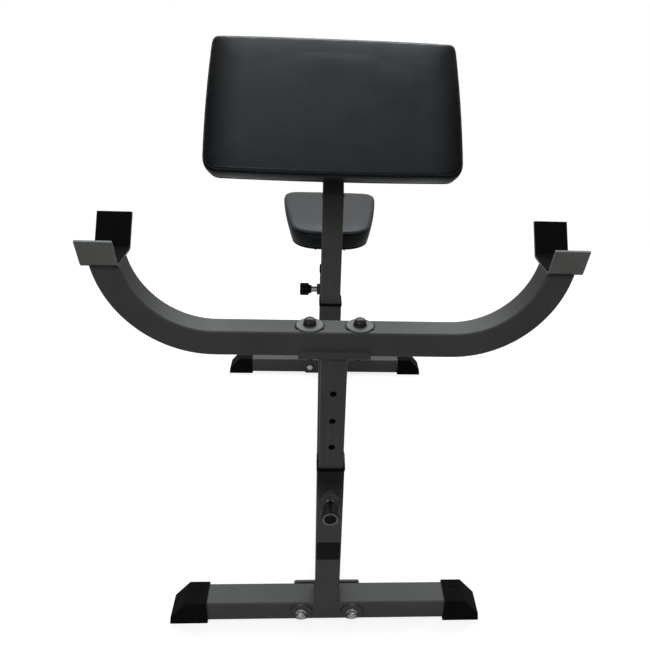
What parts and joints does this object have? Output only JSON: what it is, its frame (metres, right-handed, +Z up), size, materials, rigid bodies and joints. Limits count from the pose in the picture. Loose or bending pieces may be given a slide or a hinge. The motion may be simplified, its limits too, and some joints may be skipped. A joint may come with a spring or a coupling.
{
  "type": "preacher curl bench",
  "caption": "Free-standing preacher curl bench with a height-adjustable bar rest, a sloping arm pad and a seat on telescoping square posts.",
  "frame": {"origin": "on the floor, below the centre of the bench's box", "axes": "+Z up; +Y from the bar rest towards the seat, so the bar rest and its hooks are at -Y; +X to the right seen from the bar rest's side"},
  "size_m": [0.775, 1.047, 1.0993],
  "materials": {
    "frame_paint": "satin charcoal powder coat",
    "black_plastic": "moulded, fine grain",
    "black_rubber": "matt",
    "zinc": "bright zinc plate",
    "spring_steel": "drawn wire",
    "vinyl": "grained vinyl, satin",
    "plywood": "raw plywood"
  },
  "bodies": {
    "frame": {"front_foot_tube": "frame_paint", "rear_foot_tube": "frame_paint", "foot_cap_front_left": "black_plastic", "foot_cap_front_right": "black_plastic", "foot_cap_rear_left": "black_plastic", "foot_cap_rear_right": "black_plastic", "base_beam": "frame_paint", "beam_plate_front": "frame_paint", "beam_plate_rear": "frame_paint", "foot_reinforcing_discs": "frame_paint", "foot_washers": "zinc", "foot_bolts": "zinc", "foot_nuts": "zinc", "bar_upright": "frame_paint", "pad_upright": "frame_paint", "seat_upright": "frame_paint", "bar_sleeve": "black_plastic", "pad_sleeve": "black_plastic", "seat_sleeve": "black_plastic", "bar_pin_nut": "frame_paint", "bar_pin_barrel": "zinc", "bar_pin_spring": "spring_steel", "pad_pin_nut": "frame_paint", "pad_pin_barrel": "zinc", "pad_pin_spring": "spring_steel", "seat_pin_nut": "frame_paint", "seat_pin_barrel": "zinc", "seat_pin_spring": "spring_steel"},
    "bar_rest": {"bar_post": "frame_paint", "bar_post_plug": "black_plastic", "bar_saddle": "frame_paint", "bar_arm": "frame_paint", "bar_hook_left": "frame_paint", "bar_hook_right": "frame_paint", "hook_liners": "black_rubber", "arm_reinforcing_discs": "frame_paint", "arm_bolts": "zinc", "arm_nuts": "zinc", "arm_bolt_caps": "black_plastic"},
    "pad_carriage": {"pad_post": "frame_paint", "pad_post_plug": "black_plastic", "pad_support_tube": "frame_paint", "pad_support_plug": "black_plastic", "pad_crossbars": "frame_paint", "pad_screws": "zinc", "pad_board": "plywood", "pad_cushion": "vinyl"},
    "seat_carriage": {"seat_post": "frame_paint", "seat_post_plug": "black_plastic", "seat_bracket": "frame_paint", "seat_screws": "zinc", "seat_board": "plywood", "seat_cushion": "vinyl"},
    "bar_pin": {"bar_pin_rod": "zinc", "bar_pin_knob": "black_plastic"},
    "pad_pin": {"pad_pin_rod": "zinc", "pad_pin_knob": "black_plastic"},
    "seat_pin": {"seat_pin_rod": "zinc", "seat_pin_knob": "black_plastic"}
  },
  "joints": [
    {"name": "bar_height", "type": "slide", "parent": "frame", "child": "bar_rest", "axis": [0, 0, 1], "range_m": [-0.232, 0]},
    {"name": "pad_height", "type": "slide", "parent": "frame", "child": "pad_carriage", "axis": [0, 0, 1], "range_m": [-0.174, 0.058]},
    {"name": "seat_height", "type": "slide", "parent": "frame", "child": "seat_carriage", "axis": [0, 0, 1], "range_m": [-0.058, 0.116]},
    {"name": "bar_pin_push", "type": "slide", "parent": "frame", "child": "bar_pin", "axis": [0, 1, 0], "range_m": [0, 0.014], "deforming": ["bar_pin_spring"]},
    {"name": "pad_pin_push", "type": "slide", "parent": "frame", "child": "pad_pin", "axis": [1, 0, 0], "range_m": [0, 0.014], "deforming": ["pad_pin_spring"]},
    {"name": "seat_pin_push", "type": "slide", "parent": "frame", "child": "seat_pin", "axis": [1, 0, 0], "range_m": [0, 0.014], "deforming": ["seat_pin_spring"]}
  ]
}
